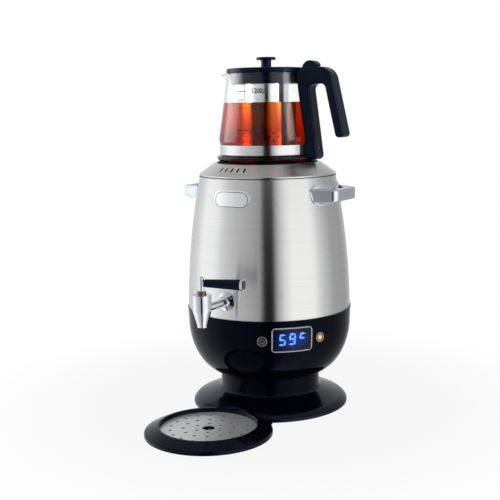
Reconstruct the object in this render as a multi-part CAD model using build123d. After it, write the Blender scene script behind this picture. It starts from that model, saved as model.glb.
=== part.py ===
from build123d import *
import os
from math import asin, cos, degrees, radians, sin, sqrt

os.makedirs("parts", exist_ok=True)

# Electric tea maker. Millimetres, floor at z = 0, front (tap) towards -Y, right towards +X.
# Angles are counted from the front, positive towards +X.

# Fits shared by all pieces
slip = 0.35             # between curved faces of pieces that move apart
snug = 0.1              # round a fixed piece in its hole
running_gap = 0.05      # radial gap of a turning fit
overrun = 30.0          # how far a cutter passes the face it cuts

# Small screws
screw_radius = 1.5
screw_head_radius = 3.0
screw_head_height = 1.2

# Foot: a flared disc that rises to a neck
foot_radius = 118.0
foot_lift = 1.5
foot_edge_height = 5.0
foot_edge_round = 4.0
foot_edge_width = 5.0
foot_edge_rise = 6.0
foot_hip_round = 16.0
neck_radius = 75.3
foot_slope_rise = 14.5
neck_height = 26.0
neck_root_round = 7.0
moulding_wall = 2.6
foot_boss_radius = 4.5
foot_screw_inset = 18.0
foot_screw_angles = (70, 150, 210, 290)
foot_screw_depth = 7.0

# Base cover and rubber foot ring under the foot
cover_thickness = 2.0
foot_ring_inset = 9.0
foot_ring_width = 9.0
foot_ring_bite_gap = 2.0

# Cord bush at the back of the neck
bush_drop = 11.5
bush_radius = 6.0
bush_flange_radius = 8.5
bush_flange = 2.5
cord_hole_radius = 3.7

# Base bowl: black lower housing, a quarter ellipse from the neck up to an upright band
bowl_floor_ledge = 19.3
bowl_root_inset = 7.3
bowl_curve_rise = 80.5
bowl_curve_tail = 1.0
bowl_band_height = 18.7
bowl_band_lean = 1.0
bowl_lip = 1.3
shell_seat_depth = 6.0
bowl_screw_inset = 6.3
bowl_screw_angles = (45, 135, 225, 315)
bowl_boss_radius = 5.0
bowl_boss_drop = 20.0
bowl_screw_depth = 12.0

# Steel body shell: one long arc, upright at the belly
belly_radius = 122.5
belly_drop = 10.7
shell_height = 196.3
shell_taper = 20.7
steel_wall = 1.0

# Water tank hung by its rim flange
tank_gap = 8.0
tank_floor_rise = 5.3
tank_flange_height = 1.2
tank_flange_reach = 0.5

# Heater under the tank floor
heater_radius = 72.0
heater_thickness = 5.0
element_radius = 52.0
element_width = 9.0
element_height = 7.0
element_gap_angle = 40.0
terminal_radius = 3.0
terminal_length = 12.0
thermostat_radius = 9.0
thermostat_height = 11.0
fuse_radius = 4.0
fuse_height = 8.0
fuse_circle = 28.0
probe_radius = 5.0
probe_height = 14.0
probe_offset = 16.0
heater_parts_angle = 120.0

# Display panel on the bowl
panel_angle = 45.3
panel_gap = 3.5
bezel_width = 60.0
bezel_height = 36.0
bezel_corner = 6.0
bezel_frame = 2.3
bezel_proud = 0.7
window_proud = 0.2
window_depth = 1.6
board_side_margin = 3.5
board_end_margin = 4.0
board_thickness = 1.6
board_standoff = 16.0
module_side_gap = 6.5
module_end_gap = 2.0
module_depth = 8.0
board_post_radius = 2.5
board_post_setback = 8.0
board_post_inset = 1.0

# Push buttons
button_angle = 20.3
button_drop = 0.8
button_radius = 7.25
button_proud = 1.0
button_length = 7.0
button_flange_width = 1.35
button_flange = 1.4
button_travel = 1.5
sleeve_wall = 1.6
sleeve_depth = 11.0
switch_thickness = 4.0
plunger_radius = 2.0
plunger_gap = 0.5

# Tap
tap_rise = 26.3
tap_projection = 61.155
shank_radius = 5.25
shank_bore_radius = 3.6
shank_spare = 3.0
rosette_radius = 13.5
rosette_thickness = 4.0
root_nut_radius = 8.5
root_nut_length = 6.5
seal_radius = 9.0
washer_radius = 10.0
washer_thickness = 2.5
inner_nut_radius = 9.5
inner_nut_length = 5.0
barrel_wall = 5.0
barrel_rise = 18.5
barrel_taper_drop = 1.5
spout_radius = 7.0
spout_taper = 20.5
spout_length = 2.0
spout_bore_radius = 4.0
plug_radius = 8.0
plug_floor = 12.0
plug_neck_radius = 3.6
plug_port_radius = 3.0
bonnet_radius = 6.3
bonnet_height = 7.0
stem_radius = 3.1
stem_rise = 11.5
post_radius = 3.6
post_rise = 9.0
post_round_share = 0.9
post_gap = 0.4
tap_lever_angle = 12.0
grip_length = 53.0
grip_wall = 2.3
grip_end_radius = 7.5
grip_round = 2.0
stem_in_grip = 14.0
end_ring_length = 3.8
end_ring_proud = 0.3
end_cap_length = 0.8
end_cap_radius = 6.4

# Side handles
side_handle_drop = 24.0
side_plate_length = 94.0
side_plate_width = 31.0
side_plate_thickness = 2.0
side_handle_projection = 24.64
side_root_half_width = 42.0
side_outer_half_width = 32.0
side_root_half_height = 10.5
side_outer_half_height = 8.5
side_bar = 9.0
side_corner_round = 11.0
side_edge_round = 2.5
side_screw_depth = 9.0

# Badge plate, bare
badge_drop = 25.5
badge_angle = 0.8
badge_length = 58.0
badge_width = 23.0
badge_thickness = 1.2

# Shoulder lid: a cone that closes the tank and carries the teapot
gasket_height = 1.2
gasket_width = 6.0
lid_edge_height = 1.8
lid_edge_round = 1.4
lid_cone_run = 22.3
lid_rise = 17.8
lid_sheet = 1.2
lid_skirt_depth = 9.0
lid_hole_radius = 52.0
vent_count = 5
vent_pitch = 6.5
vent_centre_angle = -4.5
vent_width = 3.0
vent_length = 9.0
vent_place_share = 0.4

# Pot seat ring
seat_margin = 0.6
seat_thickness = 1.2

# Teapot glass
glass_wall = 2.4
glass_floor = 5.0
glass_foot_step = 4.2
glass_foot_inset = 5.0
glass_foot_height = 8.5
band_gap = 3.1
band_height = 14.0
band_radius = 70.2
band_thickness = 0.9
glass_hip_step = 1.0
glass_hip_rise = 4.5
glass_hip_height = 6.5
glass_taper = 11.9
glass_side_height = 92.0
glass_waist_sag = 0.7
lip_length = 17.7
lip_half_width = 17.0
lip_drop = 22.0
lip_root_radius = 3.0

# Teapot handle, outlined in the XZ plane
handle_width = 27.0
handle_edge_round = 4.5
handle_rise = 7.0
bridge_depth = 24.0
grip_offset = 33.6
grip_splay = 23.0
grip_drop = 100.0
grip_thickness = 14.0
grip_tip_round = 5.5
strap_top_reach = 17.1
strap_bottom_reach = 19.8
strap_lift = 3.6
strap_corner_round = 7.0
bridge_corner_round = 22.0
bridge_inner_round = 8.0
handle_bolt_rise = 8.0
band_boss_radius = 3.6
band_boss_length = 8.0

# Tea infuser: a steel cup that hangs by a black collar from the glass rim
collar_inset = 0.3
collar_flange = 1.2
collar_gap = 2.9
collar_skirt_wall = 2.0
collar_drop = 15.7
collar_floor = 2.0
infuser_radius = 33.5
infuser_wall = 0.8
infuser_lip = 4.5
infuser_lift = 18.6
infuser_hole_radius = 1.2
infuser_hole_rows = 5
infuser_hole_count = 20
infuser_hole_pitch = 4.5

# Teapot lid, hinged in the handle
lid_overhang = 0.5
lid_rim_height = 5.8
lid_rim_round = 1.5
lid_seat_gap = 0.3
lid_skirt_gap = 1.0
lid_skirt_wall = 2.5
lid_skirt_drop = 5.0
lid_plate = 3.5
lid_crown = 0.8
hinge_reach = 7.7
hinge_rise = 2.5
hinge_pin_radius = 1.5
hinge_pin_inset = 2.0
knuckle_radius = 3.6
lever_width = 14.0
lever_slot_side_gap = 0.5
lever_slot_base = 5.5
lever_slot_room = 5.5
lever_tongue = 4.0
lever_thickness = 3.6
lever_apex_reach = 9.5
lever_apex_rise = 13.8
lever_end_reach = 20.0
lever_end_rise = 7.5
cheek_setback = 3.0

# Lid knob
knob_stem_radius = 7.6
knob_stem_height = 11.5
knob_disc_radius = 14.4
knob_disc_height = 4.0
knob_round = 1.4
knob_screw_radius = 2.0
knob_screw_depth = 10.0
knob_screw_head_radius = 4.0
knob_screw_head_height = 2.0

# Drip tray
tray_setback = 9.0
tray_radius = 90.0
tray_floor = 2.2
tray_edge_height = 5.0
tray_edge_round = 3.0
tray_rim_height = 13.0
tray_rim_width = 2.5
tray_rim_round = 1.2
tray_border = 21.0
tray_ledge_width = 3.5
grid_height = 5.5
saddle_thickness = 1.8
saddle_length = 87.0
saddle_back_half_width = 36.0
saddle_neck = 12.0
saddle_waist_half_width = 43.0
saddle_neck_flare = 3.5
saddle_flare_half_width = 62.0
saddle_round = 7.0

# Drip grid: rings of holes round one large hole
grid_thickness = 1.3
grid_gap = 0.6
grid_hole_radius = 2.5
grid_centre_radius = 9.0
grid_ring_counts = (6, 12, 18)
grid_ring_shares = (0.27, 0.52, 0.79)

# Heights and radii worked out from the sizes above, from the floor up
cover_top = foot_lift + cover_thickness
foot_hip_radius = foot_radius - foot_edge_width
foot_hip_height = foot_edge_height + foot_edge_rise
foot_screw_circle = foot_radius - foot_screw_inset
foot_ring_outer = foot_radius - foot_ring_inset
foot_ring_inner = foot_ring_outer - foot_ring_width
neck_root_height = foot_hip_height + foot_slope_rise
bowl_seat_height = neck_root_height + neck_height
bush_height = bowl_seat_height - bush_drop
bowl_floor_hole_radius = neck_radius - bowl_floor_ledge
bowl_screw_circle = neck_radius - bowl_screw_inset
bowl_rim_radius = belly_radius + bowl_lip
bowl_curve_radius = neck_radius - bowl_root_inset
bowl_curve_width = bowl_rim_radius - bowl_band_lean - bowl_curve_radius
bowl_curve_height = bowl_seat_height + bowl_curve_rise
bowl_curve_drop = bowl_curve_rise + bowl_curve_tail
bowl_rim_height = bowl_curve_height + bowl_band_height

shell_bottom = bowl_rim_height - shell_seat_depth
shell_top_height = bowl_rim_height + shell_height
shell_top_radius = belly_radius - shell_taper
belly_height = bowl_rim_height - belly_drop
shell_rise = shell_top_height - belly_height
body_bend = (shell_rise ** 2 + shell_taper ** 2) / (2 * shell_taper)
tank_floor_height = bowl_rim_height + tank_floor_rise
tank_top = shell_top_height + tank_flange_height
probe_circle = heater_radius + probe_offset

panel_height = shell_bottom - panel_gap - bezel_height / 2
button_height = panel_height - button_drop
button_flange_radius = button_radius + button_flange_width
board_post_across = bezel_width / 2 - board_post_setback
board_post_up = bezel_height / 2 - board_post_inset
board_width = 2 * (board_post_across + board_side_margin)
board_height = 2 * (board_post_up + board_end_margin)
module_width = bezel_width - 2 * module_side_gap
module_height = 2 * (board_post_up - board_post_radius - module_end_gap)

tap_height = bowl_rim_height + tap_rise
shank_inside = steel_wall + 2 * washer_thickness + inner_nut_length + shank_spare
barrel_radius = plug_radius + barrel_wall
barrel_top = tap_height + barrel_rise
barrel_taper_height = tap_height - barrel_taper_drop
spout_top = barrel_taper_height - spout_taper
spout_end = spout_top - spout_length
plug_seat_height = spout_top + plug_floor
grip_axis_height = barrel_top + bonnet_height + stem_rise
grip_start = post_radius + post_gap
grip_end = grip_start + grip_length
grip_start_radius = stem_radius + grip_wall

side_handle_height = shell_top_height - side_handle_drop
badge_height = shell_top_height - badge_drop
gasket_top = tank_top + gasket_height
lid_top_height = gasket_top + lid_rise
lid_top_radius = shell_top_radius - lid_cone_run
vent_radius = lid_top_radius + lid_cone_run * vent_place_share

pot_base = lid_top_height + seat_thickness
glass_foot_radius = band_radius + glass_foot_step
seat_outer_radius = glass_foot_radius + seat_margin
band_bottom = pot_base + glass_foot_height + band_gap
band_top = band_bottom + band_height
glass_hip_radius = band_radius + glass_hip_step
glass_hip_low = band_top + glass_hip_rise
glass_hip_high = glass_hip_low + glass_hip_height
glass_rim_radius = band_radius - glass_taper
glass_rim_height = glass_hip_high + glass_side_height
lip_reach = glass_rim_radius + lip_length

handle_top = glass_rim_height + handle_rise
bridge_underside = handle_top - bridge_depth
grip_bottom = handle_top - grip_drop
strap_bottom = pot_base + strap_lift
strap_outer_top = glass_rim_radius + strap_top_reach
strap_outer_bottom = band_radius + strap_bottom_reach
grip_outer_top = strap_outer_top + grip_offset
grip_outer_bottom = grip_outer_top + grip_splay
handle_bolt_height = band_bottom + handle_bolt_rise

collar_radius = glass_rim_radius - collar_inset
collar_skirt_radius = glass_rim_radius - glass_wall - collar_gap
infuser_lip_radius = infuser_radius + infuser_lip
infuser_bottom = pot_base + glass_floor + infuser_lift
lid_rim_radius = glass_rim_radius + lid_overhang
hinge_across = lid_rim_radius + hinge_reach
hinge_height = glass_rim_height + hinge_rise
hinge_pin_length = handle_width - 2 * hinge_pin_inset
lever_apex_across = hinge_across + lever_apex_reach
lever_apex_height = hinge_height + lever_apex_rise
lever_end_across = hinge_across + lever_end_reach
lever_end_height = hinge_height + lever_end_rise
lever_slot_floor = bridge_underside + lever_slot_base
lever_slot_end = lever_end_across + lever_slot_room


# Helpers
def disc(radius, low, high):
    return Pos(0, 0, low) * extrude(Circle(radius), high - low)


def ring(inner, outer, low, high):
    return Pos(0, 0, low) * extrude(Circle(outer) - Circle(inner), high - low)


def turned(outline):
    return revolve(Plane.XZ * outline, Axis.Z)


def rounded(outline, corners):
    for point, radius in corners:
        outline = fillet(outline.vertices().sort_by_distance(point)[0], radius)
    return outline


def facing(angle, height):
    # Plane that looks out from the axis: x across, y up, z outwards
    turn = radians(angle)
    return Plane((0, 0, height), x_dir=(cos(turn), sin(turn), 0), z_dir=(sin(turn), -cos(turn), 0))


def bar(plane, outline, low, high):
    # Outline drawn on the plane and carried from one distance to another along its normal
    return plane * (Pos(0, 0, low) * extrude(outline, high - low))


def around(radius, angle, height=0):
    turn = radians(angle)
    return Pos(radius * sin(turn), -radius * cos(turn), height)


def body_radius(height):
    return belly_radius - body_bend + sqrt(body_bend ** 2 - (height - belly_height) ** 2)


# Places measured from the shell's curve
tap_reach = body_radius(tap_height) + tap_projection
side_handle_root = body_radius(side_handle_height)
side_handle_reach = side_handle_root + side_handle_projection
tray_reach = tap_reach - tray_setback
tray_recess_radius = tray_radius - tray_border
saddle_back = tray_reach - saddle_length
saddle_waist = saddle_back + saddle_neck
saddle_flare = saddle_waist + saddle_neck_flare


def body_side(offset, low, high):
    middle = (low + high) / 2
    return ThreePointArc(
        (body_radius(low) + offset, low),
        (body_radius(middle) + offset, middle),
        (body_radius(high) + offset, high))


def body_layer(inner, outer, low, high):
    # Ring that follows the shell's outer face, between two offsets from it
    inside = body_side(inner, low, high)
    outside = body_side(outer, low, high)
    return turned(make_face([inside, outside, Line(inside @ 0, outside @ 0), Line(inside @ 1, outside @ 1)]))


def body_core(offset, low, high):
    side = body_side(offset, low, high)
    ends = [Line((0, low), side @ 0), Line(side @ 1, (0, high)), Line((0, high), (0, low))]
    return turned(make_face([side] + ends))


def bowl_side_radius(height, inset=0):
    width = bowl_curve_width - inset
    fall = bowl_curve_drop - inset
    return bowl_curve_radius + width * sqrt(1 - ((bowl_curve_height - height) / fall) ** 2)


def bowl_core(inset, low, high):
    width = bowl_curve_width - inset
    fall = bowl_curve_drop - inset
    start = -degrees(asin((bowl_curve_height - low) / fall))
    curve = EllipticalCenterArc((bowl_curve_radius, bowl_curve_height), width, fall, start, arc_size=-start)
    rise = (high - bowl_curve_height) / (bowl_rim_height - bowl_curve_height)
    lean = bowl_rim_radius - bowl_curve_radius - bowl_curve_width
    top = (bowl_curve_radius + width + lean * rise, high)
    lines = [Line((0, low), curve @ 0), Line(curve @ 1, top), Line(top, (0, high))]
    return turned(make_face([curve] + lines + [Line((0, high), (0, low))]))


def foot_outline(inset, low, high):
    base = foot_radius - inset
    hip = (foot_hip_radius - inset, foot_hip_height - inset)
    edge = (base, foot_edge_height - inset / 2)
    root = (neck_radius - inset, neck_root_height - inset)
    neck = (neck_radius - inset, high)
    outline = Polygon((0, low), (base, low), edge, hip, root, neck, (0, high), align=None)
    convex = [(edge, foot_edge_round - inset), (hip, foot_hip_round - inset)]
    return rounded(outline, convex + [(root, neck_root_round + inset)])


def tray_column(grow):
    # Upright column over the tray's plan: a circle cut straight at the saddle's back edge
    side = 2 * foot_radius
    block = Box(side, side, side, align=(Align.CENTER, Align.MIN, Align.CENTER))
    behind = Pos(0, grow - saddle_back, 0) * block
    return Pos(0, -tray_reach, 0) * disc(tray_radius + grow, -overrun, bowl_seat_height) - behind


def screw(head_below, point, length):
    # Screw along +Z from its head's face, or along -Z where the head is on top
    shank = disc(screw_radius, 0, length)
    head = disc(screw_head_radius, -screw_head_height, 0)
    turn = Rot(0, 0, 0) if head_below else Rot(180, 0, 0)
    return point * turn * (shank + head)


# Foot, cover and ring
def foot_screw_places(height):
    return [around(foot_screw_circle, angle, height) for angle in foot_screw_angles]


def bowl_screw_places(height):
    return [around(bowl_screw_circle, angle, height) for angle in bowl_screw_angles]


def make_foot():
    skin = turned(foot_outline(0, foot_lift, bowl_seat_height))
    hollow = turned(foot_outline(moulding_wall, foot_lift - overrun, bowl_seat_height + overrun))
    body = skin - tray_column(slip)
    shell = body - (hollow - tray_column(slip + moulding_wall))
    for place in foot_screw_places(0):
        shell += place * disc(foot_boss_radius, cover_top, neck_root_height) & body
        shell -= place * disc(screw_radius + snug, 0, cover_top + foot_screw_depth)
    boss_low = bowl_seat_height - bowl_boss_drop
    for place in bowl_screw_places(0):
        shell += place * disc(bowl_boss_radius, boss_low, bowl_seat_height) & body
        shell -= place * disc(screw_radius + snug, bowl_seat_height - bowl_screw_depth, bowl_seat_height)
    bush_hole = Circle(bush_radius + snug)
    return shell - bar(facing(180, bush_height), bush_hole, neck_root_height, neck_radius + overrun)


def make_base_cover():
    plate = disc(foot_radius - moulding_wall - snug, foot_lift, cover_top)
    plate -= tray_column(slip + moulding_wall + snug)
    for place in foot_screw_places(0):
        plate -= place * disc(screw_radius + snug, 0, cover_top)
    return plate


def make_cover_screws():
    return [screw(True, place, foot_screw_depth) for place in foot_screw_places(foot_lift)]


def make_foot_ring():
    pad = ring(foot_ring_inner, foot_ring_outer, 0, foot_lift)
    pad -= tray_column(slip + moulding_wall + foot_ring_bite_gap)
    for place in foot_screw_places(0):
        pad -= place * disc(screw_head_radius + snug, 0, foot_lift)
    return pad


def make_cord_bush():
    plane = facing(180, bush_height)
    inner_face = neck_radius - moulding_wall - bush_flange
    body = bar(plane, Circle(bush_radius), inner_face - bush_flange, neck_radius + snug)
    collar = bar(plane, Circle(bush_flange_radius), neck_radius + snug, neck_radius + snug + bush_flange)
    stop = bar(plane, Circle(bush_flange_radius), inner_face - bush_flange, inner_face)
    stop += bar(plane, Circle(bush_flange_radius), inner_face, neck_radius) & disc(
        neck_radius - moulding_wall - snug, foot_lift, bowl_seat_height)
    bore = bar(plane, Circle(cord_hole_radius), 0, neck_radius + overrun)
    return body + collar + stop - bore


# Bowl and what it carries
def panel_plane():
    return facing(panel_angle, panel_height)


def button_planes():
    return [facing(panel_angle + side * button_angle, button_height) for side in (-1, 1)]


def button_face():
    return bowl_side_radius(button_height)


def board_face():
    # Front face of the control board, measured from the axis
    return bowl_side_radius(panel_height) - board_standoff


def board_post_places():
    return GridLocations(2 * board_post_across, 2 * board_post_up, 2, 2)


def make_bowl():
    skin = bowl_core(0, bowl_seat_height, bowl_rim_height)
    hollow = bowl_core(moulding_wall, bowl_seat_height + moulding_wall, bowl_rim_height)
    bowl = skin - hollow
    bowl -= disc(bowl_floor_hole_radius, bowl_seat_height, bowl_seat_height + moulding_wall)
    bowl -= disc(belly_radius + snug, shell_bottom, bowl_rim_height)
    for place in bowl_screw_places(0):
        bowl -= place * disc(screw_radius + snug, bowl_seat_height, bowl_seat_height + moulding_wall)
    for place in board_post_places():
        post = Pos(place.position) * Circle(board_post_radius)
        bowl += bar(panel_plane(), post, board_face(), bowl_rim_radius) & skin
    panel_hole = RectangleRounded(bezel_width + 2 * snug, bezel_height + 2 * snug, bezel_corner)
    bowl -= bar(panel_plane(), panel_hole, board_face() + module_depth, bowl_rim_radius + overrun)
    sleeve_inner = button_flange_radius + slip
    sleeve_low = button_face() - sleeve_depth
    for plane in button_planes():
        sleeve = Circle(sleeve_inner + sleeve_wall) - Circle(sleeve_inner)
        bowl += bar(plane, sleeve, sleeve_low, bowl_rim_radius) & skin
        bowl -= bar(plane, Circle(button_radius + slip), sleeve_low, bowl_rim_radius + overrun)
    return bowl


def make_bowl_screws():
    top = bowl_seat_height + moulding_wall
    return [screw(False, place, bowl_screw_depth) for place in bowl_screw_places(top)]


def bowl_layer(proud, depth, outline):
    # Piece let into the bowl's wall at the panel, curved as the wall is
    low = panel_height - bezel_height
    high = min(panel_height + bezel_height, bowl_rim_height)
    column = bar(panel_plane(), outline, board_face() + module_depth, bowl_rim_radius + overrun)
    return (bowl_core(-proud, low, high) - bowl_core(depth, low, high)) & column


def window_outline(gap):
    across = bezel_width - 2 * bezel_frame - 2 * gap
    up = bezel_height - 2 * bezel_frame - 2 * gap
    return RectangleRounded(across, up, bezel_corner - bezel_frame)


def make_display_bezel():
    frame = RectangleRounded(bezel_width, bezel_height, bezel_corner) - window_outline(0)
    return bowl_layer(bezel_proud, moulding_wall, frame)


def make_display_window():
    return bowl_layer(window_proud, window_depth, window_outline(snug))


def make_control_board():
    board = Rectangle(board_width, board_height)
    for place in board_post_places():
        board -= Pos(place.position) * Circle(screw_radius + snug)
    return bar(panel_plane(), board, board_face() - board_thickness, board_face())


def make_board_screws():
    places = [Pos(place.position) for place in board_post_places()]
    back = board_face() - board_thickness
    return [panel_plane() * screw(True, Pos(0, 0, back) * place, board_thickness) for place in places]


def make_display_module():
    block = RectangleRounded(module_width, module_height, bezel_frame)
    return bar(panel_plane(), block, board_face(), board_face() + module_depth - snug)


def make_button(plane):
    face = button_face()
    back = face + button_proud - button_length - button_flange
    cap = bar(plane, Circle(button_radius), back, face + button_proud)
    flange = bar(plane, Circle(button_flange_radius), back, back + button_flange)
    return cap + flange


def make_button_switch(plane):
    top = button_face() - sleeve_depth
    button_back = button_face() + button_proud - button_length - button_flange
    plunger_top = button_back - button_travel - plunger_gap
    case = bar(plane, Circle(button_flange_radius + slip + sleeve_wall), top - switch_thickness, top)
    return case + bar(plane, Circle(plunger_radius), top, plunger_top)


# Shell, tank and heater
def side_half_width(reach):
    # The handle's loop narrows evenly from its root to its outer bar
    fall = (side_root_half_width - side_outer_half_width) / side_handle_projection
    return side_root_half_width - fall * (reach - side_handle_root)


def side_screw_places():
    # In the middle of the loop's two legs
    across = side_half_width(side_handle_root + side_screw_depth / 2) - side_bar / 2
    return (-across, across)


def side_screw_planes():
    planes = [facing(angle, side_handle_height) for angle in (-90, 90)]
    return [(plane, across) for plane in planes for across in side_screw_places()]


def make_body_shell():
    shell = body_layer(-steel_wall, 0, shell_bottom, shell_top_height)
    shell -= bar(facing(0, tap_height), Circle(shank_radius + snug), 0, belly_radius + overrun)
    for plane, across in side_screw_planes():
        shell -= bar(plane, Pos(across, 0) * Circle(screw_radius + snug), 0, belly_radius)
    return shell


def make_tank():
    outside = -steel_wall - tank_gap
    inside = outside - steel_wall
    wall = body_layer(inside, outside, tank_floor_height, shell_top_height)
    mouth = body_radius(shell_top_height) + inside
    flange = ring(mouth, shell_top_radius + tank_flange_reach, shell_top_height, tank_top)
    hole = bar(facing(0, tap_height), Circle(shank_radius + snug), 0, belly_radius)
    return wall + flange - hole


def under_tank():
    return tank_floor_height - steel_wall


def make_tank_floor():
    # A pressed disc, welded under the tank's wall
    return disc(body_radius(tank_floor_height) - steel_wall - tank_gap, under_tank(), tank_floor_height)


def make_heater_plate():
    return disc(heater_radius, under_tank() - heater_thickness, under_tank())


def make_heating_element():
    top = under_tank() - heater_thickness
    inner = element_radius - element_width / 2
    section = Rectangle(element_width, element_height, align=Align.MIN)
    band = turned(Pos(inner, top - element_height) * section)
    # A wedge at the back leaves the ring open between its two ends
    turn = radians(element_gap_angle / 2)
    across = 2 * element_radius * sin(turn)
    back = 2 * element_radius * cos(turn)
    wedge = Polygon((0, 0), (across, back), (-across, back), align=None)
    band -= Pos(0, 0, top - element_height) * extrude(wedge, element_height)
    for side_sign in (-1, 1):
        angle = 180 + side_sign * element_gap_angle
        low = top - element_height - terminal_length
        band += around(element_radius, angle) * disc(terminal_radius, low, top - element_height)
    return band


def make_boil_thermostat():
    top = under_tank() - heater_thickness
    return disc(thermostat_radius, top - thermostat_height, top)


def make_thermal_fuse():
    top = under_tank() - heater_thickness
    return around(fuse_circle, heater_parts_angle) * disc(fuse_radius, top - fuse_height, top)


def make_temperature_probe():
    probe = disc(probe_radius, under_tank() - probe_height, under_tank())
    return around(probe_circle, heater_parts_angle) * probe


# Tap
def tap_plane():
    return facing(0, tap_height)


def tap_hole(gap):
    return bar(tap_plane(), Circle(shank_radius + gap), 0, tap_reach)


def near_tap(offset):
    return body_core(offset, tap_height - overrun, tap_height + overrun)


def make_tap_rosette():
    face = body_radius(tap_height)
    dome = Polygon(
        (0, 0), (rosette_radius, 0), (rosette_radius, rosette_thickness / 4),
        (root_nut_radius, rosette_thickness), (0, rosette_thickness), align=None)
    front = tap_plane() * (Pos(0, 0, face) * turned(dome))
    back = bar(tap_plane(), Circle(rosette_radius), face - rosette_thickness, face)
    return front + back - near_tap(running_gap) - tap_hole(snug)


def make_root_nut():
    start = body_radius(tap_height) + rosette_thickness
    nut = RegularPolygon(root_nut_radius, 6)
    return bar(tap_plane(), nut, start, start + root_nut_length) - tap_hole(snug)


def make_tap_shank():
    start = body_radius(tap_height) - steel_wall - tank_gap - shank_inside
    tube = Circle(shank_radius) - Circle(shank_bore_radius)
    return bar(tap_plane(), tube, start, tap_reach - plug_radius - snug)


def make_tap_seal():
    outside = -steel_wall - snug
    inside = -steel_wall - tank_gap + snug
    gap_ring = body_layer(inside, outside, tap_height - washer_radius, tap_height + washer_radius)
    return (gap_ring & bar(tap_plane(), Circle(seal_radius), 0, belly_radius)) - tap_hole(snug)


def tank_inside_face():
    return body_radius(tap_height) - 2 * steel_wall - tank_gap


def make_tap_washer():
    inner_face = -2 * steel_wall - tank_gap - snug
    low = tank_inside_face() - 2 * washer_thickness
    block = bar(tap_plane(), Circle(washer_radius), low, tank_inside_face())
    return (block & near_tap(inner_face)) - tap_hole(snug)


def make_tap_nut():
    top = tank_inside_face() - 2 * washer_thickness
    nut = RegularPolygon(inner_nut_radius, 6)
    return bar(tap_plane(), nut, top - inner_nut_length, top) - tap_hole(snug)


def make_tap_barrel():
    outline = Polygon(
        (0, spout_end), (spout_radius, spout_end), (spout_radius, spout_top),
        (barrel_radius, barrel_taper_height), (barrel_radius, barrel_top), (0, barrel_top), align=None)
    barrel = Pos(0, -tap_reach, 0) * turned(rounded(outline, [((spout_radius, spout_top), spout_radius)]))
    seat = Pos(0, -tap_reach, 0) * disc(plug_radius, plug_seat_height, barrel_top)
    outlet = Pos(0, -tap_reach, 0) * disc(spout_bore_radius, spout_end, plug_seat_height)
    return barrel - seat - outlet - tap_hole(snug)


def make_tap_bonnet():
    inner = plug_neck_radius + running_gap
    flange = ring(inner, barrel_radius, barrel_top, barrel_top + bonnet_height / 3)
    cap = ring(inner, bonnet_radius, barrel_top, barrel_top + bonnet_height)
    return Pos(0, -tap_reach, 0) * (flange + cap)


def make_tap_plug():
    low = plug_seat_height + slip
    body = disc(plug_radius - running_gap, low, barrel_top - slip)
    neck = disc(plug_neck_radius, barrel_top - slip, barrel_top + bonnet_height + slip)
    # The port runs in from one side and down to the spout
    port = bar(facing(-90, tap_height), Circle(plug_port_radius), 0, barrel_radius)
    drain = disc(plug_port_radius, low, tap_height)
    return Pos(0, -tap_reach, 0) * (body + neck - port - drain)


def lever_place():
    return Pos(0, -tap_reach, 0) * Rot(0, 0, tap_lever_angle)


def make_lever_stem():
    # A round-topped post, with a rod out of its side for the grip
    low = barrel_top + bonnet_height + slip
    high = grip_axis_height + post_rise
    crown = (post_radius, high)
    outline = Polygon((0, low), (post_radius, low), crown, (0, high), align=None)
    post = turned(rounded(outline, [(crown, post_radius * post_round_share)]))
    rod = Pos(0, 0, grip_axis_height) * Rot(0, 90, 0) * disc(stem_radius, 0, grip_start + stem_in_grip)
    return lever_place() * (post + rod)


def on_lever(outline):
    # Turned about the lever's own axis, which lies level
    return lever_place() * Pos(0, 0, grip_axis_height) * Rot(0, 90, 0) * turned(outline)


def make_lever_grip():
    near = (grip_start_radius, grip_start)
    outline = Polygon((0, grip_start), near, (grip_end_radius, grip_end), (0, grip_end), align=None)
    depth = grip_start + stem_in_grip + snug
    socket = Rectangle(stem_radius + snug, depth, align=Align.MIN)
    return on_lever(rounded(outline, [(near, grip_round)])) - on_lever(socket)


def make_lever_end_ring():
    section = Rectangle(grip_end_radius + end_ring_proud, end_ring_length, align=Align.MIN)
    return on_lever(Pos(0, grip_end) * section)


def make_lever_end_cap():
    start = grip_end + end_ring_length
    outline = Pos(0, start) * Rectangle(end_cap_radius, end_cap_length, align=Align.MIN)
    corner = (end_cap_radius, start + end_cap_length)
    return on_lever(rounded(outline, [(corner, end_cap_length / 2)]))


# Side handles and badge
def side_plate_proud():
    return side_plate_thickness + running_gap


def make_side_plate(angle):
    plane = facing(angle, side_handle_height)
    low = side_handle_height - side_plate_width
    high = shell_top_height
    column = bar(plane, SlotOverall(side_plate_length, side_plate_width), 0, belly_radius + overrun)
    plate = body_layer(running_gap, side_plate_proud(), low, high) & column
    for across in side_screw_places():
        plate -= bar(plane, Pos(across, 0) * Circle(screw_radius + snug), 0, belly_radius + overrun)
    return plate


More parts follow.
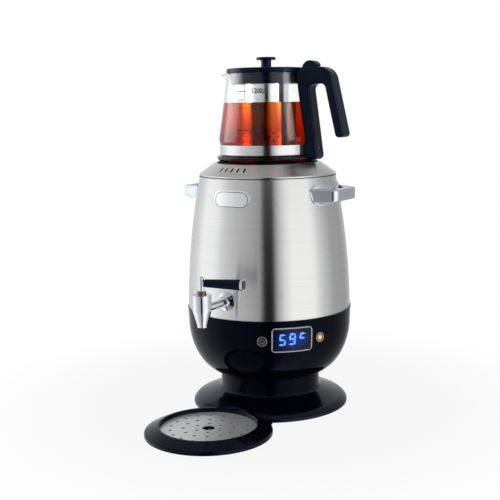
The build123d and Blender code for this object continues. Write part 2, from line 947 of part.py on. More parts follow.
def make_side_handle(angle):
    plane = facing(angle, side_handle_height)
    inner = side_handle_root - side_handle_projection
    outer = side_handle_reach
    wide = side_half_width(inner)
    narrow = side_outer_half_width
    plan = Polygon((-wide, inner), (wide, inner), (narrow, outer), (-narrow, outer), align=None)
    plan = rounded(plan, [((-narrow, outer), side_corner_round), ((narrow, outer), side_corner_round)])
    tall = side_root_half_height
    low = side_outer_half_height
    profile = Polygon((-tall, inner), (tall, inner), (low, outer), (-low, outer), align=None)
    # Drawn lying flat: plan in X and Y with Y outwards, profile across it
    block = extrude(plan, tall, both=True)
    taper = Rot(0, 90, 0) * extrude(profile, wide, both=True)
    block = block & taper
    block = fillet(block.edges().filter_by(lambda edge: edge.center().Y > inner), side_edge_round)
    gap_reach = outer - side_bar
    gap_wide = side_half_width(inner) - side_bar
    gap_narrow = side_half_width(gap_reach) - side_bar
    gap_ends = [(gap_narrow, gap_reach), (-gap_narrow, gap_reach)]
    gap = Polygon((-gap_wide, inner), (gap_wide, inner), *gap_ends, align=None)
    gap = rounded(gap, [(end, side_corner_round - side_edge_round) for end in gap_ends])
    block -= extrude(gap, overrun, both=True)
    for across in side_screw_places():
        pilot = Pos(across, 0, 0) * Rot(-90, 0, 0) * disc(screw_radius + snug, 0, side_screw_end())
        block -= pilot
    inside = body_core(
        side_plate_proud() + running_gap, side_handle_height - overrun, shell_top_height + overrun)
    return plane * Rot(90, 0, 0) * block - inside


def side_screw_end():
    return sqrt(side_handle_root ** 2 - side_screw_places()[1] ** 2) + side_screw_depth


def make_side_screws():
    inside = body_radius(side_handle_height + screw_head_radius) - steel_wall
    seat = sqrt(inside ** 2 - (side_screw_places()[1] + screw_head_radius) ** 2) - snug
    length = side_screw_end() - seat
    return [plane * screw(True, Pos(across, 0, seat), length) for plane, across in side_screw_planes()]


def make_badge_plate():
    low = badge_height - badge_width
    high = badge_height + badge_width
    outline = SlotOverall(badge_length, badge_width)
    column = bar(facing(badge_angle, badge_height), outline, 0, belly_radius + overrun)
    return body_layer(running_gap, badge_thickness, low, high) & column


# Shoulder lid
def lid_cone_height(radius):
    edge = shell_top_radius
    low = gasket_top + lid_edge_height
    return low + (edge - radius) * (lid_top_height - low) / (edge - lid_top_radius)


def shoulder_skirt_radius():
    # Runs just inside the tank's mouth
    return body_radius(shell_top_height) - 2 * steel_wall - tank_gap - slip


def make_shoulder_skirt():
    outer = shoulder_skirt_radius()
    return ring(outer - steel_wall, outer, gasket_top - lid_skirt_depth, gasket_top)


def make_shoulder_lid():
    edge = shell_top_radius
    inner = shoulder_skirt_radius() - steel_wall
    under = lid_top_height - lid_sheet
    outer_edge = (edge, gasket_top + lid_edge_height)
    crown = (lid_top_radius, lid_top_height)
    outline = Polygon(
        (lid_hole_radius, lid_top_height), crown, outer_edge, (edge, gasket_top), (inner, gasket_top),
        (inner, lid_cone_height(inner) - 2 * lid_sheet),
        (lid_top_radius, under), (lid_hole_radius, under), align=None)
    lid = turned(rounded(outline, [(outer_edge, lid_edge_round), (crown, lid_edge_round)]))
    for index in range(vent_count):
        angle = vent_centre_angle + (index - (vent_count - 1) / 2) * vent_pitch
        slot = Rot(0, 0, 90) * SlotOverall(vent_length, vent_width)
        cut = Pos(0, 0, gasket_top) * extrude(slot, overrun)
        lid -= Rot(0, 0, angle) * Pos(0, -vent_radius, 0) * cut
    return lid


def make_lid_gasket():
    return ring(shell_top_radius - gasket_width, shell_top_radius - snug, tank_top, gasket_top)


def make_pot_seat():
    return ring(lid_hole_radius, seat_outer_radius, lid_top_height, pot_base)


# Teapot
def glass_side(inset):
    hip = glass_hip_radius - inset
    rim = glass_rim_radius - inset
    middle = ((hip + rim) / 2 - glass_waist_sag, (glass_hip_high + glass_rim_height) / 2)
    return ThreePointArc((hip, glass_hip_high), middle, (rim, glass_rim_height))


def glass_core(inset, floor):
    waist = band_radius - band_thickness - snug - inset
    foot_top = pot_base + glass_foot_height
    side = glass_side(inset)
    if inset > 0:
        low = [(0, floor), (waist - glass_foot_inset, floor), (waist, foot_top)]
    else:
        foot = glass_foot_radius - inset
        low = [(0, floor), (foot - glass_foot_inset, floor), (foot, floor + glass_foot_inset)]
        low += [(foot, foot_top), (waist, foot_top + (foot - waist) / 3)]
    low += [(waist, band_top), (glass_hip_radius - inset, glass_hip_low), side @ 0]
    lines = Polyline(*low)
    top = [Line(side @ 1, (0, glass_rim_height)), Line((0, glass_rim_height), (0, floor))]
    return turned(make_face([lines, side] + top))


def lip_core(inset):
    # Beak pulled out of the rim: a slanted cone from a small root up to a long oval
    root = Pos(-glass_rim_radius + 2 * lip_root_radius, 0, glass_rim_height - lip_drop)
    start = root * Circle(lip_root_radius - inset / 2)
    mouth_half = (lip_reach - glass_rim_radius + lip_half_width) / 2
    centre = -lip_reach + mouth_half
    end = Pos(centre, 0, glass_rim_height) * Ellipse(mouth_half - inset, lip_half_width - inset)
    return loft([start, end])


def make_teapot_glass():
    outside = glass_core(0, pot_base) + lip_core(0)
    inside = glass_core(glass_wall, pot_base + glass_floor) + lip_core(glass_wall)
    return outside - inside


def bolt_plane():
    return facing(90, handle_bolt_height)


def make_teapot_band():
    start = band_radius - band_thickness / 2
    band = ring(band_radius - band_thickness, band_radius, band_bottom, band_top)
    boss = bar(bolt_plane(), Circle(band_boss_radius), start, band_radius + band_boss_length)
    bore = bar(bolt_plane(), Circle(screw_radius + snug), start + band_thickness, band_radius + overrun)
    return band + boss - bore


def strap_face(height):
    rise = (height - strap_bottom) / (bridge_underside - strap_bottom)
    return strap_outer_bottom + (strap_outer_top - strap_outer_bottom) * rise


def grip_face(height):
    rise = (height - grip_bottom) / (handle_top - grip_bottom)
    return grip_outer_bottom + (grip_outer_top - grip_outer_bottom) * rise


def handle_outline():
    inner_corner = (grip_face(bridge_underside) - grip_thickness, bridge_underside)
    tip = (grip_outer_bottom, grip_bottom)
    tip_inner = (grip_outer_bottom - grip_thickness, grip_bottom)
    outer_corner = (grip_outer_top, handle_top)
    strap_top = (strap_outer_top, bridge_underside)
    strap_end = (strap_outer_bottom, strap_bottom)
    back = glass_rim_radius - glass_wall - overrun
    outline = Polygon(
        (back, handle_top), outer_corner, tip, tip_inner, inner_corner, strap_top, strap_end,
        (back, strap_bottom), align=None)
    return rounded(outline, [
        (outer_corner, bridge_corner_round), (tip, grip_tip_round), (tip_inner, grip_tip_round),
        (inner_corner, bridge_inner_round), (strap_top, bridge_inner_round),
        (strap_end, strap_corner_round)])


def handle_slab(outline, width):
    # Outline in X and Z, as thick as the width, centred on y = 0
    return extrude(Plane.XZ * outline, width / 2, both=True)


def hinge_bar(radius, length):
    return Pos(hinge_across, 0, hinge_height) * Rot(90, 0, 0) * Cylinder(radius, length)


def pot_clearance():
    room = glass_core(-slip, pot_base) + lip_core(0)
    room += disc(band_radius + slip, band_bottom - slip, band_top + slip)
    room += disc(glass_foot_radius + slip, 0, pot_base + glass_foot_height)
    room += disc(lid_rim_radius + cheek_setback, glass_rim_height - slip, handle_top + overrun)
    return room


def make_teapot_handle():
    slab = handle_slab(handle_outline(), handle_width)
    faces = slab.faces().sort_by(Axis.Y)
    slab = fillet(faces[0].edges() + faces[-1].edges(), handle_edge_round)
    slot_width = lever_width + 2 * lever_slot_side_gap
    slot_high = handle_top + overrun
    slot = Polygon(
        (0, lever_slot_floor), (lever_slot_end, lever_slot_floor), (lever_slot_end, slot_high),
        (0, slot_high), align=None)
    handle = slab - pot_clearance() - handle_slab(slot, slot_width)
    handle -= hinge_bar(hinge_pin_radius + running_gap, hinge_pin_length + 2 * snug)
    handle -= bar(bolt_plane(), Circle(band_boss_radius + snug), 0, band_radius + band_boss_length + snug)
    handle -= bar(bolt_plane(), Circle(screw_radius + snug), 0, strap_outer_bottom + overrun)
    handle -= bar(bolt_plane(), Circle(screw_head_radius + snug), bolt_seat(), strap_outer_bottom + overrun)
    return handle


def bolt_seat():
    return strap_face(handle_bolt_height) - 2 * screw_head_height


def make_handle_bolt():
    shank = bar(bolt_plane(), Circle(screw_radius), band_radius + band_thickness, bolt_seat())
    head = bar(bolt_plane(), Circle(screw_head_radius), bolt_seat(), bolt_seat() + screw_head_height)
    return shank + head


def make_hinge_pin():
    return hinge_bar(hinge_pin_radius, hinge_pin_length)


# Tea infuser
def collar_floor_top():
    return glass_rim_height - collar_drop + collar_floor


def make_infuser_collar():
    low = glass_rim_height - collar_drop
    skirt_inner = collar_skirt_radius - collar_skirt_wall
    flange = ring(skirt_inner, collar_radius, glass_rim_height, glass_rim_height + collar_flange)
    return flange + ring(skirt_inner, collar_skirt_radius, low, glass_rim_height)


def make_infuser_seat():
    # Closes the collar's foot and carries the infuser by its lip
    low = glass_rim_height - collar_drop
    return ring(infuser_radius + snug, collar_skirt_radius - collar_skirt_wall, low, collar_floor_top())


def make_infuser():
    top = collar_floor_top() + infuser_wall
    inner = infuser_radius - infuser_wall
    cup = disc(infuser_radius, infuser_bottom, top) - disc(inner, infuser_bottom + infuser_wall, top)
    cup += ring(inner, infuser_lip_radius, collar_floor_top(), top)
    step = 360 / infuser_hole_count
    holes = []
    for row in range(infuser_hole_rows):
        height = infuser_bottom + (row + 1) * infuser_hole_pitch
        for index in range(infuser_hole_count):
            # Every other row is turned by half a step
            plane = facing(step * (index + row % 2 / 2), height)
            holes.append(bar(plane, Circle(infuser_hole_radius), inner - infuser_wall, infuser_lip_radius))
    return cup - holes


# Teapot lid
def lid_low():
    return glass_rim_height + collar_flange + lid_seat_gap


def lid_top():
    return lid_low() + lid_rim_height


def lid_skirt_radius():
    return collar_skirt_radius - collar_skirt_wall - lid_skirt_gap


def make_pot_lid():
    under = lid_top() - lid_plate
    skirt_inner = lid_skirt_radius() - lid_skirt_wall
    skirt_low = lid_low() - lid_skirt_drop
    rim = (lid_rim_radius, lid_top())
    outline = Polygon(
        (0, under), (skirt_inner, under), (skirt_inner, skirt_low), (lid_skirt_radius(), skirt_low),
        (lid_skirt_radius(), lid_low()), (lid_rim_radius, lid_low()), rim,
        (knob_disc_radius, lid_top() + lid_crown), (0, lid_top() + lid_crown), align=None)
    lid = turned(rounded(outline, [(rim, lid_rim_round)]))
    lid += handle_slab(lever_outline(), lever_width) + hinge_bar(knuckle_radius, lever_width)
    lid -= hinge_bar(hinge_pin_radius + running_gap, handle_width)
    return lid - disc(knob_screw_radius + snug, under, lid_top() + lid_crown)


def lever_outline():
    # Tongue from the lid to the hinge, then a solid hump over the handle for the thumb
    start = lid_skirt_radius()
    low = lid_low()
    high = lid_low() + lever_tongue
    tongue = Polygon((start, low), (hinge_across, low), (hinge_across, high), (start, high), align=None)
    half = lever_thickness / 2
    over = ThreePointArc(
        (hinge_across - knuckle_radius, hinge_height), (lever_apex_across, lever_apex_height),
        (lever_end_across, lever_end_height))
    below = Line((hinge_across + half, hinge_height), (lever_end_across - half, lever_end_height - lever_thickness))
    hump = make_face([over, Line(over @ 1, below @ 1), below, Line(below @ 0, over @ 0)])
    return tongue + hump


def make_lid_knob():
    base = lid_top() + lid_crown
    stem_top = base + knob_stem_height
    top = stem_top + knob_disc_height
    outline = Polygon(
        (0, base), (knob_stem_radius, base), (knob_stem_radius, stem_top), (knob_disc_radius, stem_top),
        (knob_disc_radius, top), (0, top), align=None)
    corners = [((knob_disc_radius, top), knob_round), ((knob_disc_radius, stem_top), knob_round)]
    knob = turned(rounded(outline, corners))
    return knob - disc(knob_screw_radius + snug, base, base + knob_screw_depth)


def make_knob_screw():
    under = lid_top() - lid_plate
    top = lid_top() + lid_crown + knob_screw_depth
    head = disc(knob_screw_head_radius, under - knob_screw_head_height, under)
    return head + disc(knob_screw_radius, under, top)


# Drip tray
def saddle_plan():
    # A tongue with a straight back edge that flares out to the tray's ring
    half = [
        (saddle_back_half_width, -saddle_back), (saddle_waist_half_width, -saddle_waist),
        (saddle_flare_half_width, -saddle_flare), (saddle_flare_half_width, -tray_reach)]
    mirrored = [(-across, along) for across, along in half]
    outline = Polygon(*mirrored, *reversed(half), align=None)
    return rounded(outline, [(corner, saddle_round) for corner in half[:2] + mirrored[:2]])


def make_drip_tray():
    recess = tray_recess_radius
    edge = (tray_radius, tray_edge_height)
    rim_outer = (recess + tray_rim_width, tray_rim_height)
    rim_inner = (recess, tray_rim_height)
    outline = Polygon((0, 0), (tray_radius, 0), edge, rim_outer, rim_inner, (0, tray_rim_height), align=None)
    outline = rounded(outline, [(edge, tray_edge_round), (rim_outer, tray_rim_round)])
    pan = Pos(0, -tray_reach, 0) * turned(outline)
    hill = turned(foot_outline(-slip - saddle_thickness, 0, bowl_seat_height)) & extrude(
        saddle_plan(), bowl_seat_height)
    # Over the foot the saddle is thin; inside the foot's bite it goes down to the floor
    cover = hill - turned(foot_outline(-slip, -overrun, bowl_seat_height + overrun))
    tray = (pan & tray_column(0)) + cover + (hill & tray_column(0))
    tray -= Pos(0, -tray_reach, 0) * disc(recess - tray_ledge_width, tray_floor, bowl_seat_height)
    return tray - Pos(0, -tray_reach, 0) * disc(recess, grid_height, bowl_seat_height)


def make_drip_grid():
    radius = tray_recess_radius - grid_gap
    plate = Circle(radius) - Circle(grid_centre_radius)
    for count, share in zip(grid_ring_counts, grid_ring_shares):
        plate -= PolarLocations(radius * share, count) * Circle(grid_hole_radius)
    return Pos(0, -tray_reach, grid_height) * extrude(plate, grid_thickness)


left_plane, right_plane = button_planes()

pieces = {
    "foot": make_foot(),
    "base_cover": make_base_cover(),
    "cover_screws": make_cover_screws(),
    "foot_ring": make_foot_ring(),
    "cord_bush": make_cord_bush(),
    "base_bowl": make_bowl(),
    "bowl_screws": make_bowl_screws(),
    "display_bezel": make_display_bezel(),
    "display_window": make_display_window(),
    "display_module": make_display_module(),
    "control_board": make_control_board(),
    "board_screws": make_board_screws(),
    "left_button": make_button(left_plane),
    "right_button": make_button(right_plane),
    "left_switch": make_button_switch(left_plane),
    "right_switch": make_button_switch(right_plane),
    "body_shell": make_body_shell(),
    "tank": make_tank(),
    "tank_floor": make_tank_floor(),
    "heater_plate": make_heater_plate(),
    "heating_element": make_heating_element(),
    "boil_thermostat": make_boil_thermostat(),
    "thermal_fuse": make_thermal_fuse(),
    "temperature_probe": make_temperature_probe(),
    "tap_rosette": make_tap_rosette(),
    "root_nut": make_root_nut(),
    "tap_shank": make_tap_shank(),
    "tap_seal": make_tap_seal(),
    "tap_washer": make_tap_washer(),
    "tap_nut": make_tap_nut(),
    "tap_barrel": make_tap_barrel(),
    "tap_bonnet": make_tap_bonnet(),
    "tap_plug": make_tap_plug(),
    "lever_stem": make_lever_stem(),
    "lever_grip": make_lever_grip(),
    "lever_end_ring": make_lever_end_ring(),
    "lever_end_cap": make_lever_end_cap(),
    "left_handle_plate": make_side_plate(-90),
    "right_handle_plate": make_side_plate(90),
    "left_side_handle": make_side_handle(-90),
    "right_side_handle": make_side_handle(90),
    "side_handle_screws": make_side_screws(),
    "badge_plate": make_badge_plate(),
    "shoulder_lid": make_shoulder_lid(),
    "shoulder_skirt": make_shoulder_skirt(),
    "lid_gasket": make_lid_gasket(),
    "pot_seat": make_pot_seat(),
    "teapot_glass": make_teapot_glass(),
    "teapot_band": make_teapot_band(),
    "teapot_handle": make_teapot_handle(),
    "handle_bolt": make_handle_bolt(),
    "hinge_pin": make_hinge_pin(),
    "infuser_collar": make_infuser_collar(),
    "infuser_seat": make_infuser_seat(),
    "infuser": make_infuser(),
    "pot_lid": make_pot_lid(),
    "lid_knob": make_lid_knob(),
    "knob_screw": make_knob_screw(),
    "drip_tray": make_drip_tray(),
    "drip_grid": make_drip_grid(),
}

for name, shape in pieces.items():
    solid = Compound(children=shape) if isinstance(shape, list) else shape
    export_step(solid, f"parts/{name}.step")
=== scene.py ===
from math import atan2, cos, pi, radians, sin

import bpy
from mathutils import Matrix, Vector


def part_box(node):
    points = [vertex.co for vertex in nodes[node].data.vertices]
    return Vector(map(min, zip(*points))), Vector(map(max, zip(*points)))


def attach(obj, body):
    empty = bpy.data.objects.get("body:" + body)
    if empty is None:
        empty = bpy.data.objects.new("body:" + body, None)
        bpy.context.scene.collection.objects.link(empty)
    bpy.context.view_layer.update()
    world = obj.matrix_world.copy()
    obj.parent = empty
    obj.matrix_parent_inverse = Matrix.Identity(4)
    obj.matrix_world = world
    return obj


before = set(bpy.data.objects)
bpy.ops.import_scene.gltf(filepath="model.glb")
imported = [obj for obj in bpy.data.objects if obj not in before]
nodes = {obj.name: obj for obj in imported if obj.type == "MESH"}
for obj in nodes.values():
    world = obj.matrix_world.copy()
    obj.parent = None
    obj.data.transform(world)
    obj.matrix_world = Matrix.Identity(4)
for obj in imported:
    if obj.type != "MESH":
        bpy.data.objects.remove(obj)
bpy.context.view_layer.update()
print("frame loaded with", len(nodes), "nodes")


# Camera at the photograph's angle, turned from the front towards the right
cameraView = {
    "away": 1.4,
    "turn": 30.0,
    "height": 0.44975,
    "pan": 31.152,
    "tilt": 8.756,
    "roll": -0.926,
    "lens": 67.19,
    "sensor": 36,
}
viewTurn = radians(cameraView["turn"])


def placeCamera():
    away = cameraView["away"]
    eye = Vector((away * sin(viewTurn), -away * cos(viewTurn), cameraView["height"]))
    cameraData = bpy.data.cameras.new("viewCamera")
    cameraData.lens = cameraView["lens"]
    cameraData.sensor_width = cameraView["sensor"]
    camera = bpy.data.objects.new("viewCamera", cameraData)
    bpy.context.scene.collection.objects.link(camera)
    camera.matrix_world = (Matrix.Translation(eye) @ Matrix.Rotation(radians(cameraView["pan"]), 4, "Z")
                           @ Matrix.Rotation(radians(90 - cameraView["tilt"]), 4, "X")
                           @ Matrix.Rotation(radians(cameraView["roll"]), 4, "Z"))
    bpy.context.scene.camera = camera


placeCamera()
bpy.context.scene.view_settings.view_transform = "Standard"
print("camera placed")


# Node steps that the studio, the finishes and the floor share
def linkMath(tree, operation, *values):
    step = tree.nodes.new("ShaderNodeMath")
    step.operation = operation
    for socket, value in zip(step.inputs, values):
        if isinstance(value, (int, float)):
            socket.default_value = value
        else:
            tree.links.new(value, socket)
    return step.outputs[0]


def compassAngle(tree, x, y):
    # From the front, positive to the right
    return linkMath(tree, "ARCTAN2", x, linkMath(tree, "MULTIPLY", y, -1.0))


def mapSpan(tree, value, fromSpan, toSpan=(0.0, 1.0), soft=False):
    span = tree.nodes.new("ShaderNodeMapRange")
    if soft:
        span.interpolation_type = "SMOOTHSTEP"
    for socket, number in zip(("From Min", "From Max", "To Min", "To Max"), (*fromSpan, *toSpan)):
        span.inputs[socket].default_value = number
    tree.links.new(value, span.inputs["Value"])
    return span.outputs[0]


def colourRamp(tree, value, stops, blend="LINEAR"):
    ramp = tree.nodes.new("ShaderNodeValToRGB")
    ramp.color_ramp.interpolation = blend
    elements = ramp.color_ramp.elements
    while len(elements) < len(stops):
        elements.new(0.5)
    for element, (position, colour) in zip(elements, stops):
        element.position = position
        element.color = (*colour, 1)
    tree.links.new(value, ramp.inputs[0])
    return ramp.outputs[0]


def mixColours(tree, share, first, second):
    mix = tree.nodes.new("ShaderNodeMix")
    mix.data_type = "RGBA"
    tree.links.new(share, mix.inputs["Factor"])
    for socket, colour in ((mix.inputs[6], first), (mix.inputs[7], second)):
        if isinstance(colour, tuple):
            socket.default_value = (*colour, 1)
        else:
            tree.links.new(colour, socket)
    return mix.outputs[2]


def mixShaders(tree, share, first, second, outKind):
    mix = tree.nodes.new("ShaderNodeMixShader")
    out = tree.nodes.new(outKind)
    for source, socket in ((share, mix.inputs[0]), (first, mix.inputs[1]), (second, mix.inputs[2]),
                           (mix.outputs[0], out.inputs["Surface"])):
        tree.links.new(source, socket)


# Studio round the object: brightness by angle from the camera, positive to the right
studio = {
    "round": [(-180, 0.66), (-146, 0.78), (-126, 1.0), (-112, 1.3), (-86, 1.24), (-68, 0.86), (-50, 0.68),
              (-28, 0.55), (-13, 0.4), (-8, 0.08), (-5, 0.0), (5, 0.0), (7, 0.08), (11, 0.42), (22, 1.0),
              (34, 1.3), (66, 1.3), (82, 0.84), (104, 0.5), (134, 0.43), (158, 0.57), (180, 0.66)],
    "brightest": 1.3,
    "tint": (0.985, 0.995, 1.02),
    "ceiling": 0.5,
    "ceilingSpan": (0.3, 0.75),
    "whiteSpan": (150 / 180, 168 / 180),   # glass shows the white only where it lies behind the object
}


def lightStudio():
    world = bpy.data.worlds.new("studio")
    bpy.context.scene.world = world
    world.use_nodes = True
    tree = world.node_tree
    tree.nodes.clear()
    where = tree.nodes.new("ShaderNodeTexCoord")
    level = tree.nodes.new("ShaderNodeVectorRotate")
    level.rotation_type = "Z_AXIS"
    level.inputs["Angle"].default_value = -viewTurn
    tree.links.new(where.outputs["Generated"], level.inputs["Vector"])
    axes = tree.nodes.new("ShaderNodeSeparateXYZ")
    tree.links.new(level.outputs[0], axes.inputs[0])
    angle = compassAngle(tree, axes.outputs["X"], axes.outputs["Y"])
    stops = []
    for turn, bright in studio["round"]:
        tone = bright / studio["brightest"]
        stops.append((turn / 360 + 0.5, tuple(min(1, tone * part) for part in studio["tint"])))
    walls = colourRamp(tree, linkMath(tree, "MULTIPLY_ADD", angle, 1 / (2 * pi), 0.5), stops)
    upward = mapSpan(tree, axes.outputs["Z"], studio["ceilingSpan"], soft=True)
    lit = tree.nodes.new("ShaderNodeBackground")
    lit.inputs["Strength"].default_value = studio["brightest"]
    room = mixColours(tree, upward, walls, (studio["ceiling"] / studio["brightest"],) * 3)
    tree.links.new(room, lit.inputs["Color"])
    white = tree.nodes.new("ShaderNodeBackground")
    white.inputs["Color"].default_value = (1, 1, 1, 1)
    rays = tree.nodes.new("ShaderNodeLightPath")
    behind = mapSpan(tree, linkMath(tree, "ABSOLUTE", linkMath(tree, "DIVIDE", angle, pi)), studio["whiteSpan"])
    through = linkMath(tree, "MULTIPLY", rays.outputs["Is Transmission Ray"], behind)
    seen = linkMath(tree, "MAXIMUM", rays.outputs["Is Camera Ray"], through)
    mixShaders(tree, seen, lit.outputs[0], white.outputs[0], "ShaderNodeOutputWorld")


lightStudio()
print("studio lit")


# Steps that the finishes share
noiseSpan = (0.3, 0.7)   # nearly all of the noise lies in here


def startFinish(name, colour, rough, metal=0.0):
    finish = bpy.data.materials.new(name)
    finish.use_nodes = True
    shader = finish.node_tree.nodes["Principled BSDF"]
    shader.inputs["Base Color"].default_value = (*colour, 1)
    shader.inputs["Roughness"].default_value = rough
    shader.inputs["Metallic"].default_value = metal
    return finish, finish.node_tree, shader


def objectAxes(tree):
    where = tree.nodes.new("ShaderNodeTexCoord")
    axes = tree.nodes.new("ShaderNodeSeparateXYZ")
    tree.links.new(where.outputs["Object"], axes.inputs[0])
    return axes.outputs["X"], axes.outputs["Y"], axes.outputs["Z"]


def grainNoise(tree, scale, detail=4.0, stretch=(1, 1, 1)):
    where = tree.nodes.new("ShaderNodeTexCoord")
    place = tree.nodes.new("ShaderNodeMapping")
    place.inputs["Scale"].default_value = stretch
    tree.links.new(where.outputs["Object"], place.inputs["Vector"])
    noise = tree.nodes.new("ShaderNodeTexNoise")
    noise.inputs["Scale"].default_value = scale
    noise.inputs["Detail"].default_value = detail
    tree.links.new(place.outputs[0], noise.inputs["Vector"])
    return noise.outputs["Fac"]


def varyRoughness(tree, shader, noise, rough):
    tree.links.new(mapSpan(tree, noise, noiseSpan, rough), shader.inputs["Roughness"])


def varyColour(tree, socket, noise, dark, light):
    tree.links.new(colourRamp(tree, noise, list(zip(noiseSpan, (dark, light)))), socket)


def raiseGrain(tree, shader, noise, strength, depth):
    bump = tree.nodes.new("ShaderNodeBump")
    bump.inputs["Strength"].default_value = strength
    bump.inputs["Distance"].default_value = depth
    tree.links.new(noise, bump.inputs["Height"])
    tree.links.new(bump.outputs[0], shader.inputs["Normal"])


def grainedFinish(name, look, detail, stretch=(1, 1, 1)):
    # Colour and roughness both follow one grain
    finish, tree, shader = startFinish(name, look["light"], look["rough"][0], look.get("metal", 0.0))
    grain = grainNoise(tree, look["grain"], detail, stretch)
    varyColour(tree, shader.inputs["Base Color"], grain, look["dark"], look["light"])
    varyRoughness(tree, shader, grain, look["rough"])
    return finish, tree, shader, grain


def letThrough(shader, look):
    shader.inputs["Transmission Weight"].default_value = 1.0
    shader.inputs["IOR"].default_value = look["bend"]
    shader.inputs["Specular Tint"].default_value = (*[look["glare"]] * 3, 1)


def glowSpot(tree, shader, centre, glow):
    # A soft round glow about one place on the piece
    where = tree.nodes.new("ShaderNodeTexCoord")
    place = tree.nodes.new("ShaderNodeMapping")
    place.vector_type = "TEXTURE"
    place.inputs["Location"].default_value = centre
    place.inputs["Scale"].default_value = glow["size"]
    tree.links.new(where.outputs["Object"], place.inputs["Vector"])
    spot = tree.nodes.new("ShaderNodeTexGradient")
    spot.gradient_type = "SPHERICAL"
    tree.links.new(place.outputs[0], spot.inputs["Vector"])
    tones = colourRamp(tree, spot.outputs["Fac"], [(0.0, glow["outer"]), (1.0, glow["inner"])], "EASE")
    tree.links.new(tones, shader.inputs["Emission Color"])
    shader.inputs["Emission Strength"].default_value = glow["strength"]


def dress(finish, *nodeNames):
    for nodeName in nodeNames:
        nodes[nodeName].data.materials.clear()
        nodes[nodeName].data.materials.append(finish)


def middle(nodeName):
    low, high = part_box(nodeName)
    return (Vector(low) + Vector(high)) / 2


def faceAway(nodeName, facing):
    # How far out from the axis the node's face stands, at this angle from the front
    angle = radians(facing)
    return max(vertex.co.x * sin(angle) - vertex.co.y * cos(angle) for vertex in nodes[nodeName].data.vertices)


# Brushed steel, its lines round the upright axis, so highlights stretch up and down
brush = {"detail": 3.0, "bump": 0.02, "depth": 0.00002, "stretch": 1.0, "turn": 0.25}
brushed = {
    "bodySteel": {"dark": (0.65, 0.645, 0.635), "light": (0.71, 0.705, 0.695), "rough": (0.2, 0.24),
                  "streaks": (5, 5, 1500), "on": ["body_shell", "shoulder_lid"]},
    "bandSteel": {"dark": (0.68, 0.68, 0.68), "light": (0.76, 0.76, 0.755), "rough": (0.17, 0.21),
                  "streaks": (5, 5, 1200), "on": ["teapot_band"]},
}


def brushedSteel(name, look):
    look = {**look, "metal": 1.0, "grain": 1.0}
    finish, tree, shader, lines = grainedFinish(name, look, brush["detail"], look["streaks"])
    raiseGrain(tree, shader, lines, brush["bump"], brush["depth"])
    shader.inputs["Anisotropic"].default_value = brush["stretch"]
    shader.inputs["Anisotropic Rotation"].default_value = brush["turn"]
    tangent = tree.nodes.new("ShaderNodeTangent")
    tangent.direction_type = "RADIAL"
    tangent.axis = "Z"
    tree.links.new(tangent.outputs[0], shader.inputs["Tangent"])
    return finish


# Polished and plain metals, faintly smudged
polish = {"detail": 5.0}
polished = {
    "innerSteel": {"dark": (0.55, 0.55, 0.54), "light": (0.66, 0.66, 0.65), "rough": (0.22, 0.34),
                   "grain": 60.0, "on": ["shoulder_skirt", "tank", "tank_floor"]},
    "chrome": {"dark": (0.66, 0.69, 0.74), "light": (0.76, 0.79, 0.84), "rough": (0.08, 0.13), "grain": 60.0,
               "on": ["tap_rosette", "tap_shank", "tap_barrel", "root_nut", "lever_stem", "lever_end_ring"]},
    "satinChrome": {"dark": (0.64, 0.67, 0.72), "light": (0.72, 0.75, 0.8), "rough": (0.12, 0.16),
                    "grain": 60.0, "on": ["left_handle_plate", "right_handle_plate", "left_side_handle",
                                          "right_side_handle"]},
    "darkBrass": {"dark": (0.07, 0.055, 0.04), "light": (0.13, 0.1, 0.065), "rough": (0.22, 0.36),
                  "grain": 60.0, "on": ["tap_nut", "tap_plug"]},
    "screwSteel": {"dark": (0.4, 0.4, 0.41), "light": (0.52, 0.52, 0.53), "rough": (0.25, 0.35),
                   "grain": 200.0, "on": ["cover_screws", "bowl_screws", "board_screws", "side_handle_screws",
                                          "handle_bolt", "hinge_pin", "knob_screw"]},
    "heaterMetal": {"dark": (0.5, 0.5, 0.5), "light": (0.68, 0.68, 0.67), "rough": (0.4, 0.55),
                    "grain": 300.0, "on": ["heater_plate", "heating_element", "boil_thermostat", "thermal_fuse",
                                           "temperature_probe"]},
    "badgeSatin": {"dark": (0.82, 0.825, 0.83), "light": (0.9, 0.905, 0.91), "rough": (0.2, 0.26),
                   "grain": 400.0, "on": ["badge_plate"]},
    "buttonDark": {"dark": (0.035, 0.037, 0.042), "light": (0.06, 0.062, 0.07), "rough": (0.3, 0.4),
                   "grain": 500.0, "on": ["left_button"]},
}


def polishedMetal(name, look):
    return grainedFinish(name, {**look, "metal": 1.0}, polish["detail"])[0]


